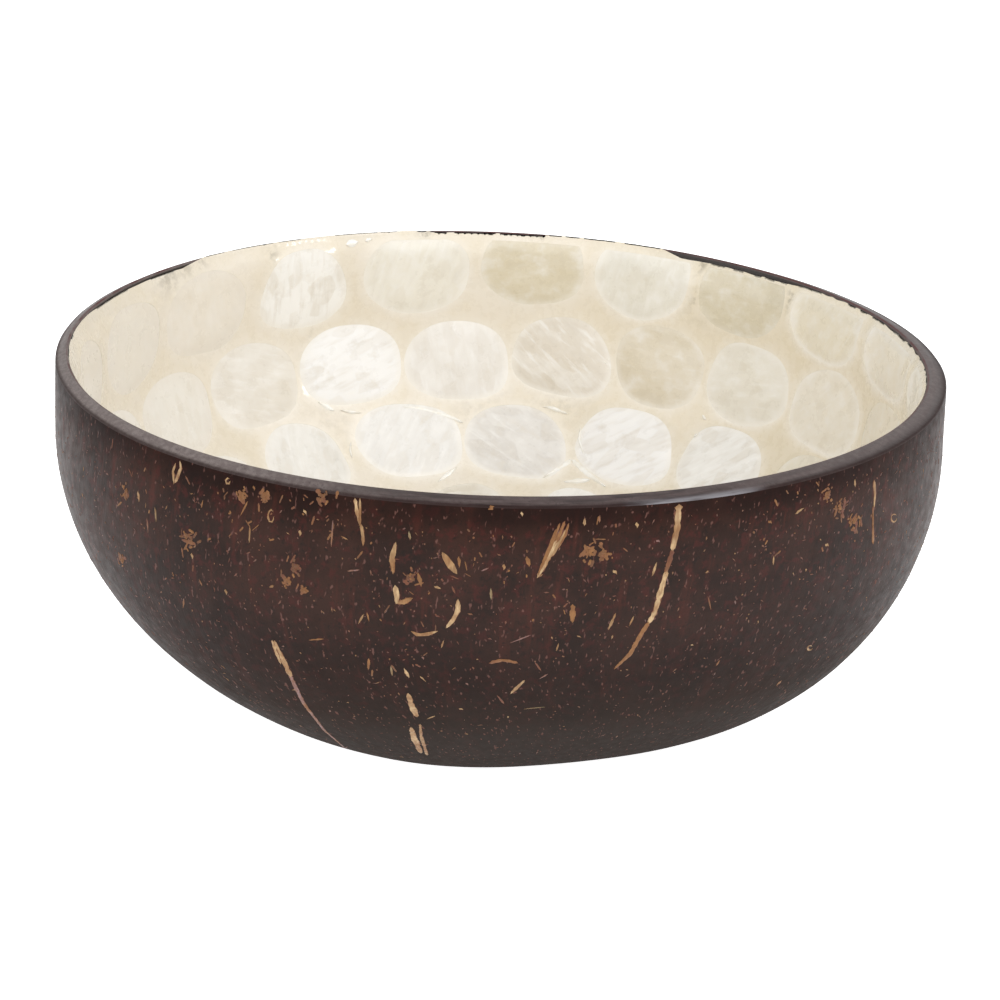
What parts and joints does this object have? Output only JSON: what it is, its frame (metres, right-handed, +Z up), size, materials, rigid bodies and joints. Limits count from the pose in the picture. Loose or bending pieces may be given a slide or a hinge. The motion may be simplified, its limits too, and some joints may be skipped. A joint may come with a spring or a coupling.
{
  "type": "coconut shell bowl",
  "caption": "Half coconut shell bowl with a ground flat base, lined with cream lacquer in which rows of oval pearl shell chips are set flush.",
  "frame": {"origin": "on the ground flat of the base, under the middle of the rim", "axes": "+Z up, out of the mouth; +X to the side where the rim is lowest; +Y away from the viewer"},
  "size_m": [0.1326, 0.1282, 0.0573],
  "materials": {
    "coconut_shell": "polished, satin at the sawn rim",
    "cream_lacquer": "gloss lacquer",
    "pearl_shell": "pearl shell under clear gloss lacquer"
  },
  "bodies": {
    "root": {"coconut_shell": "coconut_shell", "floor_chips": "pearl_shell", "lacquer_bed": "cream_lacquer", "lower_chip_1": "pearl_shell", "lower_chip_10": "pearl_shell", "lower_chip_11": "pearl_shell", "lower_chip_12": "pearl_shell", "lower_chip_13": "pearl_shell", "lower_chip_14": "pearl_shell", "lower_chip_15": "pearl_shell", "lower_chip_16": "pearl_shell", "lower_chip_17": "pearl_shell", "lower_chip_2": "pearl_shell", "lower_chip_3": "pearl_shell", "lower_chip_4": "pearl_shell", "lower_chip_5": "pearl_shell", "lower_chip_6": "pearl_shell", "lower_chip_7": "pearl_shell", "lower_chip_8": "pearl_shell", "lower_chip_9": "pearl_shell", "middle_chip_1": "pearl_shell", "middle_chip_10": "pearl_shell", "middle_chip_11": "pearl_shell", "middle_chip_12": "pearl_shell", "middle_chip_13": "pearl_shell", "middle_chip_14": "pearl_shell", "middle_chip_15": "pearl_shell", "middle_chip_16": "pearl_shell", "middle_chip_17": "pearl_shell", "middle_chip_18": "pearl_shell", "middle_chip_19": "pearl_shell", "middle_chip_2": "pearl_shell", "middle_chip_20": "pearl_shell", "middle_chip_3": "pearl_shell", "middle_chip_4": "pearl_shell", "middle_chip_5": "pearl_shell", "middle_chip_6": "pearl_shell", "middle_chip_7": "pearl_shell", "middle_chip_8": "pearl_shell", "middle_chip_9": "pearl_shell", "rim_chip_1": "pearl_shell", "rim_chip_10": "pearl_shell", "rim_chip_11": "pearl_shell", "rim_chip_12": "pearl_shell", "rim_chip_13": "pearl_shell", "rim_chip_14": "pearl_shell", "rim_chip_15": "pearl_shell", "rim_chip_16": "pearl_shell", "rim_chip_17": "pearl_shell", "rim_chip_18": "pearl_shell", "rim_chip_19": "pearl_shell", "rim_chip_2": "pearl_shell", "rim_chip_20": "pearl_shell", "rim_chip_3": "pearl_shell", "rim_chip_4": "pearl_shell", "rim_chip_5": "pearl_shell", "rim_chip_6": "pearl_shell", "rim_chip_7": "pearl_shell", "rim_chip_8": "pearl_shell", "rim_chip_9": "pearl_shell"}
  },
  "joints": []
}
